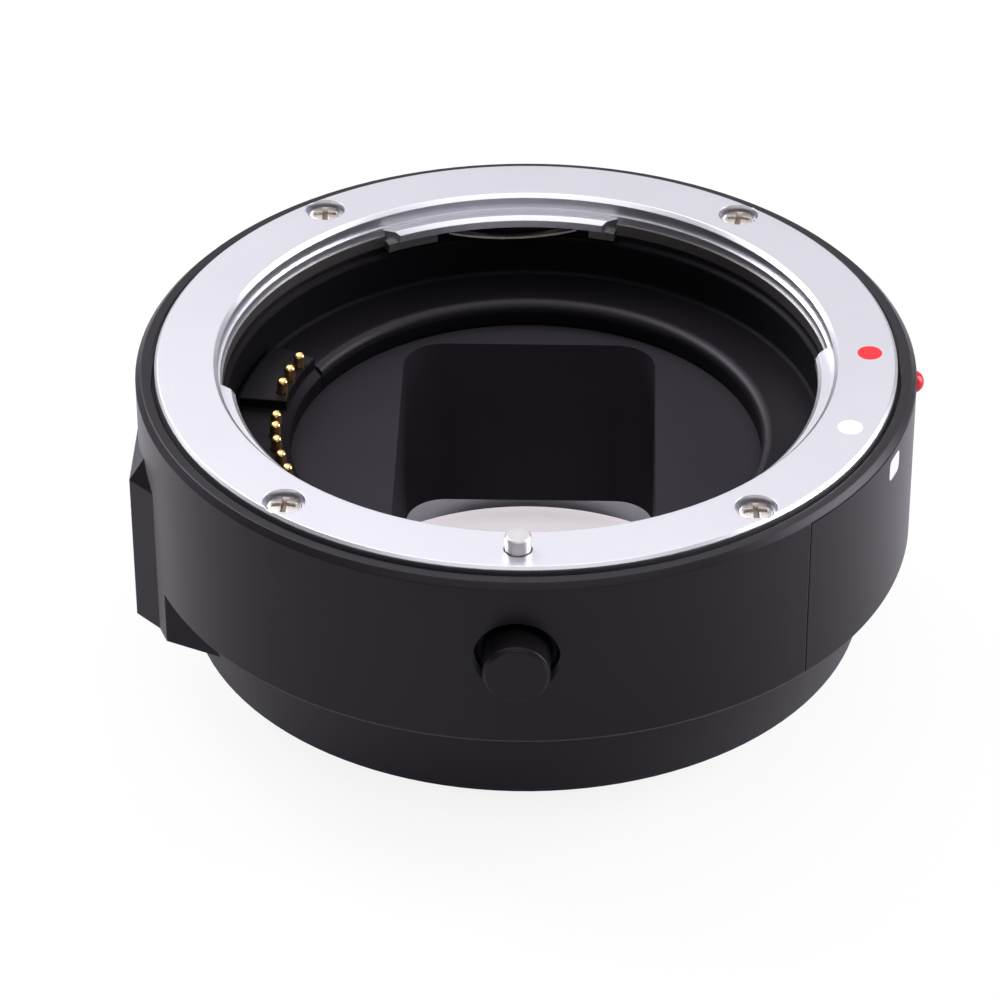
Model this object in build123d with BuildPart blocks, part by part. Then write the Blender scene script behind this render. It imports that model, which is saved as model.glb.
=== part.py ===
from build123d import *
import math
import os

os.makedirs("parts", exist_ok=True)

# Lens mount adapter. The optical axis is Z, and z = 0 is the face of the lens-side flange.
# +X is the side with the index marks, -X the foot side, -Y the side of the release button.

# Clearances
seat_gap = 0.05          # between pieces that are seated in one another
slide_gap = 0.06         # radial gap round a piece that slides
thread_gap = 0.02        # radial gap round a screw's shank
panel_gap = 0.12         # seam round the side cover
overlap = 1.0            # how far a form runs past the face that it cuts or joins

coil_sections = 8        # sections in one turn of a coil spring

# Radii, built up from the optical axis outwards
path_r = 20.9            # round bore below the inner ledge
ledge_w = 5.4            # width of the inner ledge
frame_wall = 1.65        # wall of the inner frame
throat_step = 0.7        # how much wider the throat is than the inner frame
ring_w = 5.5             # width of the lens flange
ring_groove = 0.4        # groove between the flange and the rim of the body
rim_w = 1.3              # width of the rim
frame_r = path_r + ledge_w
throat_r = frame_r + throat_step
ring_r = throat_r + ring_w
rim_r = ring_r + ring_groove
body_r = rim_r + rim_w
bore_r = frame_r + frame_wall + seat_gap

# Heights, measured down from the lens flange
register = 26.0          # lens flange to rear flange
ring_t = 2.2             # thickness of the lens flange
seat_t = 1.1             # thickness of the spring seat ring
rim_drop = 0.6           # the rim lies this far below the flange
rim_bevel_w = 0.5
rim_bevel_h = 0.5
skirt_drop = 16.5        # lower edge of the cylinder
base_step = 2.1          # the tapered base stands back from the cylinder
ledge_drop = 8.0         # the inner ledge
ledge_t = 2.4
floor_t = 2.7            # floor of the body, which carries the rear mount
rear_flange_t = 1.0
z_seat = -ring_t
z_frame_top = z_seat - seat_t
z_ledge = -ledge_drop
z_tunnel = z_ledge - ledge_t
z_rear = -register
z_bottom = z_rear + rear_flange_t
z_floor = z_bottom + floor_t

# Lens mount ring
ring_bevel = 0.25
throat_bevel = 0.35
throat_h = 1.4           # height of the plain throat wall
throat_lip = 0.2         # step in below the throat wall
lug_w = 1.4              # radial depth of a bayonet lug
lug_t = 1.05
lug_drop = 1.6
lug_bevel = 0.35
lug_lead = 1.1           # slanted lead-in at both ends of a lug
lug_spans = [(72.9, 120.5), (-46.0, 8.2), (-173.0, -116.0)]
lug_names = ["top", "right", "left"]
lug_r = throat_r - lug_w
lip_r = throat_r - throat_lip
z_lug_top = -lug_drop
z_lug_bottom = z_lug_top - lug_t

# Screws of the lens mount
mount_screw_inset = 2.0  # from the edge of the flange to the screw
mount_screw_angles = [51.5, 128.5, -130.2, -49.8]
mount_head_r = 1.5
mount_head_t = 0.8
mount_head_gap = 0.3
mount_head_drop = 0.3
mount_shank_r = 1.0
mount_shank_l = 4.5
mount_screw_r = ring_r - mount_screw_inset
z_mount_head = -mount_head_drop - mount_head_t

# Spring seat ring and leaf springs
seat_w = 1.4
seat_step = 0.35         # the seat ring reaches this far inside the throat radius
stop_w = 0.9             # radial depth of the stops that hold a leaf spring's ends
stop_h = 0.85
stop_arc_near = 5.4      # degrees, at the start of each lug
stop_arc_far = 10.8      # degrees, at the end of each lug
leaf_t = 0.2
leaf_w = 0.7
leaf_bow = 1.1
leaf_end_gap = 2.5       # degrees between a leaf's end and its stop
seat_in_r = throat_r - seat_step
seat_out_r = seat_in_r + seat_w
stop_r = seat_in_r - stop_w
z_rebate = z_lug_bottom - max(stop_h, leaf_bow + leaf_t) - 2 * seat_gap

# Lock pin, release button and the ramp between them
lock_travel = 1.5
pin_inset = 2.7          # from the edge of the flange to the pin's axis
pin_tip_r = 1.1
pin_tip_h = 1.4
pin_hole_gap = 0.1
pin_collar_r = 1.6
pin_collar_t = 0.6
pin_shank_r = 0.8
pin_tail_l = 4.7
foot_half_w = 2.3        # half-width of the ramp block on the pin
foot_in = 1.8            # how far the block reaches inwards from the pin's axis
foot_out = 1.8
foot_drop = 2.8          # underside of the block, below the button's axis
ramp_drop = 0.4          # the 45 degree ramp crosses the pin's axis this far below the button's axis
ramp_gap = 0.05
button_drop = 8.0
button_r = 2.8
button_bevel = 0.3
button_proud = 2.5
button_recess_r = 3.6
button_recess = 1.4      # depth of the recess round the cap
bush_t = 0.5
button_flange_r = 3.3
button_flange_t = 0.6
fork_half_w = 2.4
fork_half_h = 1.7
fork_slot_half = 1.0
fork_reach = 1.2         # how far the fork reaches past the pin's axis
pocket_half_w = 3.5
pocket_drop = 5.0        # pocket floor, below the button's axis
spring_r = 1.1
spring_wire = 0.28
spring_turns = 4
spring_bore_r = 1.4
spring_bore_l = 1.5
pin_r = ring_r - pin_inset
z_button = -button_drop
y_pin = -pin_r
y_bush_out = -(body_r - button_recess)
y_bush_in = y_bush_out + bush_t
y_flange = y_bush_in + seat_gap
y_fork_tip = y_pin + fork_reach
z_ramp = z_button - ramp_drop
z_foot = z_button - foot_drop
z_pocket = z_button - pocket_drop
z_spring_seat = z_pocket - spring_bore_l
z_tail = z_foot - pin_tail_l

# Side cover and index bead
cover_t = 0.8
cover_half_arc = 44.8
bead_angle = 1.25
bead_drop = 3.0
bead_r = 1.0
bead_proud = 0.8
bead_stem_r = 0.7
cover_r = body_r - cover_t
z_cover = -rim_drop - rim_bevel_h

# Foot seat on the body
pad_proud = 0.05
pad_half_w = 12.1
pad_top_drop = 4.0
pad_bottom_drop = 21.6
pad_bevel = 2.3
pad_slope = 3.3          # height of the sloped top
skirt_half_w = 13.9
skirt_flare = 25.0       # degrees
socket_r = 2.55          # quarter-inch tripod thread
socket_l = 5.5
pad_x = body_r + pad_proud
z_pad_top = -pad_top_drop
z_pad_bottom = -pad_bottom_drop
z_socket = (z_pad_top + z_pad_bottom) / 2

# Light tunnel
window_half_x = 11.5
window_corner = 3.6
window_margin = 1.23     # from the window's corners to the round bore
tunnel_wall = 0.9
tunnel_flange_t = 1.0
tunnel_flange_lap = 0.35
ear_angles = [10.0, 100.0, 250.0]
ear_half_w = 1.6
ear_reach = 2.6          # from the round bore to the ear's screw
ear_screw_r = 0.5
ear_head_r = 1.0
ear_head_t = 0.6
ear_screw_l = 1.6
baffle_drop = 0.8        # seat of the rear baffle, below the rear flange
baffle_t = 1.0
window_reach = path_r - window_margin - window_corner
window_half_y = math.sqrt(window_reach**2 - (window_half_x - window_corner)**2) + window_corner
tunnel_flange_r = path_r + tunnel_flange_lap
ear_r = path_r + ear_reach
z_baffle = z_rear - baffle_drop

# Lens contacts and circuit board
block_start = 153.5      # degrees
block_end = 206.5
block_gap_deg = 0.2
block_w = 4.85           # radial width of the contact block
rim_bevel = 0.8          # bevel of the ledge's inner rim
step_angle = 173.4       # the higher platform ends here
step_h = 1.0
step_inset = 0.65        # the higher platform stands back from the bore
contact_inset = 1.25     # from the bore to the contact pins
contact_angles = [158.2, 163.9, 169.6, 179.5, 183.9, 189.6, 195.8, 201.5]
high_contacts = 3
contact_r = 0.5
contact_proud = 1.4
contact_guide_l = 1.6
contact_shoulder_r = 0.6
contact_shoulder_t = 0.5
contact_bore_r = 0.66
contact_spring_r = 0.42
contact_wire = 0.16
contact_spring_turns = 2.5
board_drop = 2.2         # circuit board, below the tunnel's flange face
board_t = 1.0
board_gap = 0.4
board_hole_gap = 0.8
boss_angles = [40.0, 140.0, -90.0]
boss_r = 1.3
boss_inset = 1.7         # from the inner frame's wall to the boss
board_screw_r = 0.5
board_head_r = 1.0
board_head_t = 0.6
board_screw_l = 2.2
chip_size = 6.0
chip_t = 1.0
chip_margin = 3.9        # from the edge of the board to the chip
block_out_r = path_r + block_w
contact_ring_r = path_r + contact_inset
z_board = z_tunnel - board_drop
z_board_under = z_board - board_t
board_r = frame_r - board_gap
boss_ring_r = frame_r - boss_inset
chip_r = board_r - chip_margin - chip_size / 2

# Rear mount ring, rear baffle and rear contacts
rear_step = 0.3          # the rear bore is this much narrower than the round bore
rear_shoulder = 0.4
barrel_wall = 1.15
barrel_l = 4.6
barrel_bevel = 0.3
tab_h = 1.25
tab_t = 1.5
tab_drop = 2.4
tab_spans = [(-28.0, 28.0), (92.0, 148.0), (212.0, 268.0)]
rear_flange_w = 6.45
rear_bevel = 0.2
rear_lip = 2.0           # the body's bottom edge is this much wider than the rear flange
floor_gap = 0.75
rear_screw_inset = 2.7
rear_screw_angles = [45.0, 135.0, 225.0, 315.0]
rear_head_r = 1.5
rear_head_t = 0.6
rear_shank_r = 0.8
rear_shank_l = 2.4
lock_hole_angle = 0.0
lock_hole_r = 1.4
lock_hole_inset = 2.2
lock_hole_l = 1.4
pad_block_w = 3.0
pad_block_h = 1.9
pad_block_arc = 31.0
pad_count = 10
pad_pitch = 5.6          # degrees
pad_size_r = 1.8
pad_size_t = 1.2
pad_t = 0.15
flex_t = 0.2
flex_w = 8.0
rear_bore_r = path_r - rear_step
shoulder_r = rear_bore_r - rear_shoulder
barrel_r = rear_bore_r + barrel_wall
tab_r = barrel_r + tab_h
rear_flange_r = barrel_r + rear_flange_w
bottom_r = rear_flange_r + rear_lip
floor_open_r = barrel_r + floor_gap
rear_screw_r = rear_flange_r - rear_screw_inset
lock_hole_ring_r = rear_flange_r - lock_hole_inset
z_barrel_end = z_rear - barrel_l
z_baffle_under = z_baffle - baffle_t
z_pads = z_baffle_under - pad_block_h
pad_block_out_r = rear_bore_r - seat_gap * 4
pad_block_in_r = pad_block_out_r - pad_block_w
flex_x = (pad_block_in_r + pad_block_out_r) / 2


def radial_plane(angle):
    """Half-plane through the axis: local x is the radius, local y is the height."""
    turn = math.radians(angle)
    return Plane(
        origin=(0, 0, 0),
        x_dir=(math.cos(turn), math.sin(turn), 0),
        z_dir=(math.sin(turn), -math.cos(turn), 0),
    )


def polar(radius, angle):
    """Point on a circle about the axis."""
    turn = math.radians(angle)
    return (radius * math.cos(turn), radius * math.sin(turn))


def box_section(r_in, r_out, z_low, z_high):
    """Corners of a rectangular ring section."""
    return [(r_in, z_low), (r_out, z_low), (r_out, z_high), (r_in, z_high)]


def duct_outline(wall):
    """Outside of the duct for a wall of that thickness, trimmed to pass the shoulder of the rear mount."""
    with BuildSketch() as outline:
        RectangleRounded(2 * (window_half_x + wall), 2 * (window_half_y + wall), window_corner + wall)
        Circle(shoulder_r - slide_gap - tunnel_wall + wall, mode=Mode.INTERSECT)
    return outline.sketch


def coil(foot, radius, wire, height, turns):
    """Coil of square wire that rises from the point foot, lofted through sections along its helix."""
    count = round(turns * coil_sections)
    lean = math.atan2(height, 2 * math.pi * radius * turns)
    with BuildPart() as spring:
        for step in range(count + 1):
            turn = 2 * math.pi * step / coil_sections
            outward = (math.cos(turn), math.sin(turn), 0)
            along = (-math.sin(turn) * math.cos(lean), math.cos(turn) * math.cos(lean), math.sin(lean))
            centre = Vector(foot) + Vector(outward) * radius + Vector(0, 0, height * step / count)
            with BuildSketch(Plane(origin=centre, x_dir=outward, z_dir=along)):
                Rectangle(wire, wire)
        loft(ruled=True)
    return spring.part


inward = Plane(origin=(0, 0, z_button), x_dir=(1, 0, 0), z_dir=(0, 1, 0))

# Foot seat: a flat pad with bevelled upright edges and a sloped top, which the body takes in below
with BuildPart() as foot_pad:
    with BuildSketch(Plane.XY.offset(z_pad_bottom)):
        Polygon(
            (-bore_r - overlap, -pad_half_w),
            (-pad_x + pad_bevel, -pad_half_w),
            (-pad_x, -pad_half_w + pad_bevel),
            (-pad_x, pad_half_w - pad_bevel),
            (-pad_x + pad_bevel, pad_half_w),
            (-bore_r - overlap, pad_half_w),
            align=None,
        )
    extrude(amount=z_pad_top - z_pad_bottom)
    pad_top = foot_pad.faces().sort_by(Axis.Z)[-1]
    outer_edges = pad_top.edges().sort_by(Axis.Y)[1:-1].sort_by(Axis.X)[:-1]
    chamfer(outer_edges, length=pad_bevel, length2=pad_slope, reference=pad_top)

# Body: one turned and milled shell with the foot seat and the pocket of the lock
with BuildPart() as housing:
    with BuildSketch(Plane.XZ):
        Polygon(
            (rim_r, z_seat),
            (rim_r, -rim_drop),
            (body_r - rim_bevel_w, -rim_drop),
            (body_r, -rim_drop - rim_bevel_h),
            (body_r, -skirt_drop),
            (body_r - base_step, -skirt_drop),
            (bottom_r, z_bottom),
            (floor_open_r, z_bottom),
            (floor_open_r, z_floor),
            (bore_r, z_floor),
            (bore_r, z_frame_top),
            (seat_out_r + seat_gap, z_frame_top),
            (seat_out_r + seat_gap, z_seat),
            align=None,
        )
    revolve(axis=Axis.Z)
    # skirt under the foot seat, flush with the cylinder
    flare = math.tan(math.radians(skirt_flare))
    skirt_x = math.sqrt(body_r**2 - skirt_half_w**2)
    flare_w = skirt_half_w + (skirt_x - bore_r) * flare * 2
    flare_x = skirt_x - (flare_w - skirt_half_w) / flare
    with BuildSketch(Plane.XY.offset(z_pad_bottom)):
        Polygon(
            (-body_r - overlap, -skirt_half_w),
            (-skirt_x, -skirt_half_w),
            (-flare_x, -flare_w),
            (-flare_x, flare_w),
            (-skirt_x, skirt_half_w),
            (-body_r - overlap, skirt_half_w),
            align=None,
        )
        Circle(body_r, mode=Mode.INTERSECT)
        Circle(bore_r + overlap, mode=Mode.SUBTRACT)
    extrude(amount=-skirt_drop + overlap - z_pad_bottom)
    add(foot_pad.part)
    # tripod socket in the flat of the foot seat
    with BuildSketch(Plane(origin=(-pad_x, 0, z_socket), x_dir=(0, 1, 0), z_dir=(1, 0, 0))):
        Circle(socket_r)
    extrude(amount=socket_l, mode=Mode.SUBTRACT)
    # shallow seat of the side cover
    with BuildSketch(radial_plane(-cover_half_arc)):
        Polygon(*box_section(cover_r, body_r + overlap, -skirt_drop, z_cover), align=None)
    revolve(axis=Axis.Z, revolution_arc=2 * cover_half_arc, mode=Mode.SUBTRACT)
    # round hole of the release button and the pocket of the lock behind it
    with BuildSketch(inward.offset(y_pin)):
        Circle(button_recess_r)
    extrude(amount=y_pin * 2, mode=Mode.SUBTRACT)
    pocket_l = y_bush_in + bore_r
    with BuildSketch(Plane.XY.offset(z_seat)):
        with Locations((0, y_bush_in - pocket_l)):
            Rectangle(2 * pocket_half_w, -2 * pocket_l)
    extrude(amount=z_pocket - z_seat, mode=Mode.SUBTRACT)
    with BuildSketch(Plane.XY.offset(z_pocket)):
        with Locations((0, y_pin)):
            Circle(spring_bore_r)
    extrude(amount=-spring_bore_l, mode=Mode.SUBTRACT)
    with BuildSketch(Plane.XY.offset(z_spring_seat)):
        with Locations((0, y_pin)):
            Circle(pin_shank_r + slide_gap)
    extrude(amount=z_tail - z_spring_seat - lock_travel - pin_shank_r, mode=Mode.SUBTRACT)
    # tapped holes for the lens mount and the rear mount
    with BuildSketch(Plane.XY.offset(z_seat)):
        with Locations(*[polar(mount_screw_r, angle) for angle in mount_screw_angles]):
            Circle(mount_shank_r + thread_gap)
    extrude(amount=z_mount_head - mount_shank_l - z_seat - mount_shank_r, mode=Mode.SUBTRACT)
    with BuildSketch(Plane.XY.offset(z_bottom)):
        with Locations(*[polar(rear_screw_r, angle) for angle in rear_screw_angles]):
            Circle(rear_shank_r + thread_gap)
    extrude(amount=rear_shank_l - rear_flange_t + rear_head_t + thread_gap, mode=Mode.SUBTRACT)
    with BuildSketch(Plane.XY.offset(z_bottom)):
        with Locations(polar(lock_hole_ring_r, lock_hole_angle)):
            Circle(lock_hole_r)
    extrude(amount=lock_hole_l, mode=Mode.SUBTRACT)
housing.part.label = "housing"
export_step(housing.part, "parts/housing.step")

# Side cover: the curved panel on the side of the index marks
cover_end_arc = math.degrees(panel_gap / body_r)
bead_plane = radial_plane(bead_angle)
z_bead = -bead_drop
with BuildPart() as side_cover:
    with BuildSketch(radial_plane(-cover_half_arc + cover_end_arc)):
        Polygon(*box_section(cover_r + seat_gap, body_r, -skirt_drop, z_cover - panel_gap), align=None)
    revolve(axis=Axis.Z, revolution_arc=2 * (cover_half_arc - cover_end_arc))
    with BuildSketch(Plane(origin=(0, 0, z_bead), x_dir=(0, 0, 1), z_dir=bead_plane.x_dir)):
        Circle(bead_stem_r + thread_gap)
    extrude(amount=body_r + overlap, mode=Mode.SUBTRACT)
side_cover.part.label = "side_cover"
export_step(side_cover.part, "parts/side_cover.step")

# Index bead: a domed button whose stem sits in the side cover
dome_r = (bead_r**2 + bead_proud**2) / (2 * bead_proud)
dome_half = math.asin(bead_r / dome_r) / 2
dome_mid_x = bead_proud - dome_r * (1 - math.cos(dome_half))
with BuildPart() as index_bead:
    with BuildSketch(bead_plane):
        with BuildLine():
            Polyline(
                (body_r, z_bead + bead_r),
                (body_r, z_bead + bead_stem_r),
                (cover_r + seat_gap, z_bead + bead_stem_r),
                (cover_r + seat_gap, z_bead),
                (body_r + bead_proud, z_bead),
            )
            ThreePointArc(
                (body_r + bead_proud, z_bead),
                (body_r + dome_mid_x, z_bead + dome_r * math.sin(dome_half)),
                (body_r, z_bead + bead_r),
            )
        make_face()
    revolve(axis=Axis(origin=(0, 0, z_bead), direction=bead_plane.x_dir))
index_bead.part.label = "index_bead"
export_step(index_bead.part, "parts/index_bead.step")

# Lens mount ring with its three bayonet lugs
with BuildPart() as lens_mount_ring:
    with BuildSketch(Plane.XZ):
        Polygon(
            (throat_r + throat_bevel, 0),
            (ring_r - ring_bevel, 0),
            (ring_r, -ring_bevel),
            (ring_r, z_seat),
            (lip_r, z_seat),
            (lip_r, -throat_h),
            (throat_r, -throat_h),
            (throat_r, -throat_bevel),
            align=None,
        )
    revolve(axis=Axis.Z)
    for start, end in lug_spans:
        with BuildSketch(radial_plane(start)):
            Polygon(
                (lug_r, z_lug_bottom),
                (seat_in_r - seat_gap, z_lug_bottom),
                (seat_in_r - seat_gap, z_seat),
                (throat_r, z_seat),
                (throat_r, z_lug_top),
                (lug_r + lug_bevel, z_lug_top),
                (lug_r, z_lug_top - lug_bevel),
                align=None,
            )
        revolve(axis=Axis.Z, revolution_arc=end - start)
    lead_arc = math.degrees(lug_lead / lug_r)
    with BuildSketch(Plane.XY.offset(z_lug_top)):
        for start, end in lug_spans:
            for angle, along in [(start, lead_arc), (end, -lead_arc)]:
                Polygon(
                    polar(lug_r + lug_lead, angle),
                    polar(lug_r, angle + along),
                    polar(lug_r - overlap, angle + along),
                    polar(lug_r - overlap, angle - along),
                    polar(lug_r + lug_lead, angle - along),
                    align=None,
                )
    extrude(amount=z_lug_bottom - z_lug_top, mode=Mode.SUBTRACT)
    with BuildSketch(Plane.XY):
        with Locations(*[polar(mount_screw_r, angle) for angle in mount_screw_angles]):
            Circle(mount_head_r + mount_head_gap)
    extrude(amount=z_mount_head, mode=Mode.SUBTRACT)
    with BuildSketch(Plane.XY):
        with Locations(*[polar(mount_screw_r, angle) for angle in mount_screw_angles]):
            Circle(mount_shank_r + seat_gap)
        with Locations((0, y_pin)):
            Circle(pin_tip_r + pin_hole_gap)
    extrude(amount=z_seat, mode=Mode.SUBTRACT)
lens_mount_ring.part.label = "lens_mount_ring"
export_step(lens_mount_ring.part, "parts/lens_mount_ring.step")

# Screws of the lens mount: low round heads in the counterbores of the flange
with BuildPart() as lens_mount_screws:
    with BuildSketch(Plane.XY.offset(z_mount_head)):
        with Locations(*[polar(mount_screw_r, angle) for angle in mount_screw_angles]):
            Circle(mount_head_r)
    extrude(amount=mount_head_t)
    chamfer(lens_mount_screws.edges().group_by(Axis.Z)[-1], length=mount_head_t / 3)
    with BuildSketch(Plane.XY.offset(z_mount_head)):
        with Locations(*[polar(mount_screw_r, angle) for angle in mount_screw_angles]):
            Circle(mount_shank_r)
    extrude(amount=-mount_shank_l)
lens_mount_screws.part.label = "lens_mount_screws"
export_step(lens_mount_screws.part, "parts/lens_mount_screws.step")

# Spring seat ring under the flange, with stops that hold the ends of the leaf springs
with BuildPart() as spring_seat_ring:
    with BuildSketch(Plane.XZ):
        Polygon(*box_section(seat_in_r, seat_out_r, z_frame_top, z_seat), align=None)
    revolve(axis=Axis.Z)
    for start, end in lug_spans:
        for stop_start, stop_arc in [(start, stop_arc_near), (end - stop_arc_far, stop_arc_far)]:
            with BuildSketch(radial_plane(stop_start)):
                Polygon(
                    (stop_r, z_lug_bottom - stop_h),
                    (seat_in_r - seat_gap, z_lug_bottom - stop_h),
                    (seat_in_r - seat_gap, z_frame_top),
                    (seat_in_r + seat_gap, z_frame_top),
                    (seat_in_r + seat_gap, z_lug_bottom),
                    (stop_r, z_lug_bottom),
                    align=None,
                )
            revolve(axis=Axis.Z, revolution_arc=stop_arc)
spring_seat_ring.part.label = "spring_seat_ring"
export_step(spring_seat_ring.part, "parts/spring_seat_ring.step")

# Leaf springs: bowed strips whose ends bear on the undersides of the lugs
for name, (start, end) in zip(lug_names, lug_spans):
    leaf_start = start + stop_arc_near + leaf_end_gap
    leaf_end = end - stop_arc_far - leaf_end_gap
    leaf_mid = math.radians((leaf_start + leaf_end) / 2)
    leaf_half = stop_r * math.sin(math.radians((leaf_end - leaf_start) / 2))
    leaf_top = z_lug_bottom - seat_gap
    across = Plane(
        origin=(0, 0, 0),
        x_dir=(-math.sin(leaf_mid), math.cos(leaf_mid), 0),
        z_dir=(math.cos(leaf_mid), math.sin(leaf_mid), 0),
    )
    with BuildPart() as leaf_spring:
        with BuildSketch(across):
            with BuildLine():
                ThreePointArc((-leaf_half, leaf_top), (0, leaf_top - leaf_bow), (leaf_half, leaf_top))
                Line((leaf_half, leaf_top), (leaf_half, leaf_top - leaf_t))
                ThreePointArc(
                    (leaf_half, leaf_top - leaf_t),
                    (0, leaf_top - leaf_bow - leaf_t),
                    (-leaf_half, leaf_top - leaf_t),
                )
                Line((-leaf_half, leaf_top - leaf_t), (-leaf_half, leaf_top))
            make_face()
        extrude(amount=body_r)
        with BuildSketch(Plane.XY.offset(z_lug_bottom - ledge_drop)):
            Circle(stop_r + leaf_w)
            Circle(stop_r, mode=Mode.SUBTRACT)
        extrude(amount=ledge_drop, mode=Mode.INTERSECT)
    leaf_spring.part.label = f"leaf_spring_{name}"
    export_step(leaf_spring.part, f"parts/leaf_spring_{name}.step")

# Lock pin: tip, collar under the flange, shank, ramp block and tail
with BuildPart() as lock_pin:
    with BuildSketch(Plane.XY.offset(pin_tip_h)):
        with Locations((0, y_pin)):
            Circle(pin_tip_r)
    extrude(amount=z_seat - seat_gap - pin_tip_h)
    chamfer(lock_pin.edges().group_by(Axis.Z)[-1], length=pin_tip_r / 8)
    with BuildSketch(Plane.XY.offset(z_seat - seat_gap)):
        with Locations((0, y_pin)):
            Circle(pin_collar_r)
    extrude(amount=-pin_collar_t)
    with BuildSketch(Plane.XY.offset(z_seat - seat_gap)):
        with Locations((0, y_pin)):
            Circle(pin_shank_r)
    extrude(amount=z_tail - z_seat)
    with BuildSketch(Plane.YZ.offset(-foot_half_w)):
        Polygon(
            (y_pin - foot_out, z_foot),
            (y_pin + foot_in, z_foot),
            (y_pin + foot_in, z_ramp + foot_in),
            (y_pin - foot_out, z_ramp - foot_out),
            align=None,
        )
    extrude(amount=2 * foot_half_w)
lock_pin.part.label = "lock_pin"
export_step(lock_pin.part, "parts/lock_pin.step")

# Lock spring: a coil round the pin's tail, under the ramp block
spring_l = z_foot - z_spring_seat - spring_wire - 2 * seat_gap
spring_foot = (0, y_pin, z_spring_seat + spring_wire / 2 + seat_gap)
lock_spring = coil(spring_foot, spring_r, spring_wire, spring_l, spring_turns)
lock_spring.label = "lock_spring"
export_step(lock_spring, "parts/lock_spring.step")

# Release button: cap, retaining flange and a fork whose ramped underside drives the pin down
with BuildPart() as release_button:
    with BuildSketch(inward.offset(-body_r - button_proud)):
        Circle(button_r)
    extrude(amount=y_flange + body_r + button_proud)
    chamfer(release_button.edges().group_by(Axis.Y)[0], length=button_bevel)
    with BuildSketch(inward.offset(y_flange)):
        Circle(button_flange_r)
    extrude(amount=button_flange_t)
    with BuildSketch(inward.offset(y_flange)):
        Rectangle(2 * fork_half_w, 2 * fork_half_h)
    extrude(amount=y_fork_tip - y_flange)
    slot_out = y_pin - pin_shank_r - lock_travel - slide_gap
    with BuildSketch(Plane.XY.offset(z_button - button_flange_r)):
        with Locations((0, slot_out + body_r / 2)):
            Rectangle(2 * fork_slot_half, body_r)
    extrude(amount=2 * button_flange_r, mode=Mode.SUBTRACT)
    ramp_reach = pocket_drop * 2
    with BuildSketch(Plane.YZ.offset(-button_flange_r)):
        Polygon(
            (y_pin - ramp_reach, z_ramp - ramp_reach + ramp_gap),
            (y_pin + ramp_reach, z_ramp - ramp_reach + ramp_gap),
            (y_pin + ramp_reach, z_ramp + ramp_reach + ramp_gap),
            align=None,
        )
    extrude(amount=2 * button_flange_r, mode=Mode.SUBTRACT)
release_button.part.label = "release_button"
export_step(release_button.part, "parts/release_button.step")

# Bush that guides the button's cap and keeps its flange in
with BuildPart() as button_bush:
    with BuildSketch(inward.offset(y_bush_out)):
        Circle(button_recess_r - thread_gap)
        Circle(button_r + slide_gap, mode=Mode.SUBTRACT)
    extrude(amount=bush_t)
button_bush.part.label = "button_bush"
export_step(button_bush.part, "parts/button_bush.step")

# Inner frame: a moulded sleeve with the ledge, open where the contact block sits
with BuildPart() as inner_frame:
    with BuildSketch(Plane.XZ):
        Polygon(
            (frame_r, z_rebate),
            (seat_in_r + seat_gap, z_rebate),
            (seat_in_r + seat_gap, z_frame_top),
            (frame_r + frame_wall, z_frame_top),
            (frame_r + frame_wall, z_floor),
            (frame_r, z_floor),
            (frame_r, z_tunnel),
            (path_r, z_tunnel),
            (path_r, z_ledge - rim_bevel),
            (path_r + rim_bevel, z_ledge),
            (frame_r, z_ledge),
            align=None,
        )
    revolve(axis=Axis.Z)
    with BuildSketch(radial_plane(block_start - block_gap_deg)):
        Polygon(*box_section(path_r - overlap, block_out_r + seat_gap, z_tunnel, z_ledge), align=None)
    revolve(axis=Axis.Z, revolution_arc=block_end - block_start + 2 * block_gap_deg, mode=Mode.SUBTRACT)
    with BuildSketch(Plane.XY.offset(z_tunnel)):
        with Locations(*[polar(boss_ring_r, angle) for angle in boss_angles]):
            Circle(boss_r)
    extrude(amount=-board_drop)
    with BuildSketch(Plane.XY.offset(z_board)):
        with Locations(*[polar(boss_ring_r, angle) for angle in boss_angles]):
            Circle(board_screw_r + thread_gap)
    extrude(amount=board_screw_l, mode=Mode.SUBTRACT)
    with BuildSketch(Plane.XY.offset(z_tunnel)):
        with Locations(*[polar(ear_r, angle) for angle in ear_angles]):
            Circle(ear_screw_r + thread_gap)
    extrude(amount=ear_screw_l - tunnel_flange_t + ear_screw_r, mode=Mode.SUBTRACT)
    # relief behind the fork of the release button
    relief_y = y_fork_tip + lock_travel + 2 * slide_gap
    with BuildSketch(Plane.XY.offset(z_pocket)):
        with Locations((0, relief_y - bore_r / 2)):
            Rectangle(2 * fork_half_w + 4 * slide_gap, bore_r)
    extrude(amount=z_seat - z_pocket, mode=Mode.SUBTRACT)
inner_frame.part.label = "inner_frame"
export_step(inner_frame.part, "parts/inner_frame.step")

# Light tunnel: a flange under the ledge and a rectangular duct to the rear
with BuildPart() as light_tunnel:
    with BuildSketch(Plane.XY.offset(z_tunnel)):
        Circle(tunnel_flange_r)
        for angle in ear_angles:
            with Locations(Location((*polar(ear_r - ear_reach / 2, angle), 0), (0, 0, angle))):
                Rectangle(ear_reach, 2 * ear_half_w)
            with Locations(polar(ear_r, angle)):
                Circle(ear_half_w)
    extrude(amount=-tunnel_flange_t)
    with BuildSketch(Plane.XY.offset(z_baffle_under)):
        add(duct_outline(tunnel_wall))
    extrude(amount=z_tunnel - tunnel_flange_t - z_baffle_under)
    with BuildSketch(Plane.XY.offset(z_baffle_under)):
        RectangleRounded(2 * window_half_x, 2 * window_half_y, window_corner)
    extrude(amount=z_tunnel - z_baffle_under, mode=Mode.SUBTRACT)
    with BuildSketch(Plane.XY.offset(z_tunnel)):
        with Locations(*[polar(ear_r, angle) for angle in ear_angles]):
            Circle(ear_screw_r + seat_gap)
    extrude(amount=-tunnel_flange_t, mode=Mode.SUBTRACT)
light_tunnel.part.label = "light_tunnel"
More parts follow.
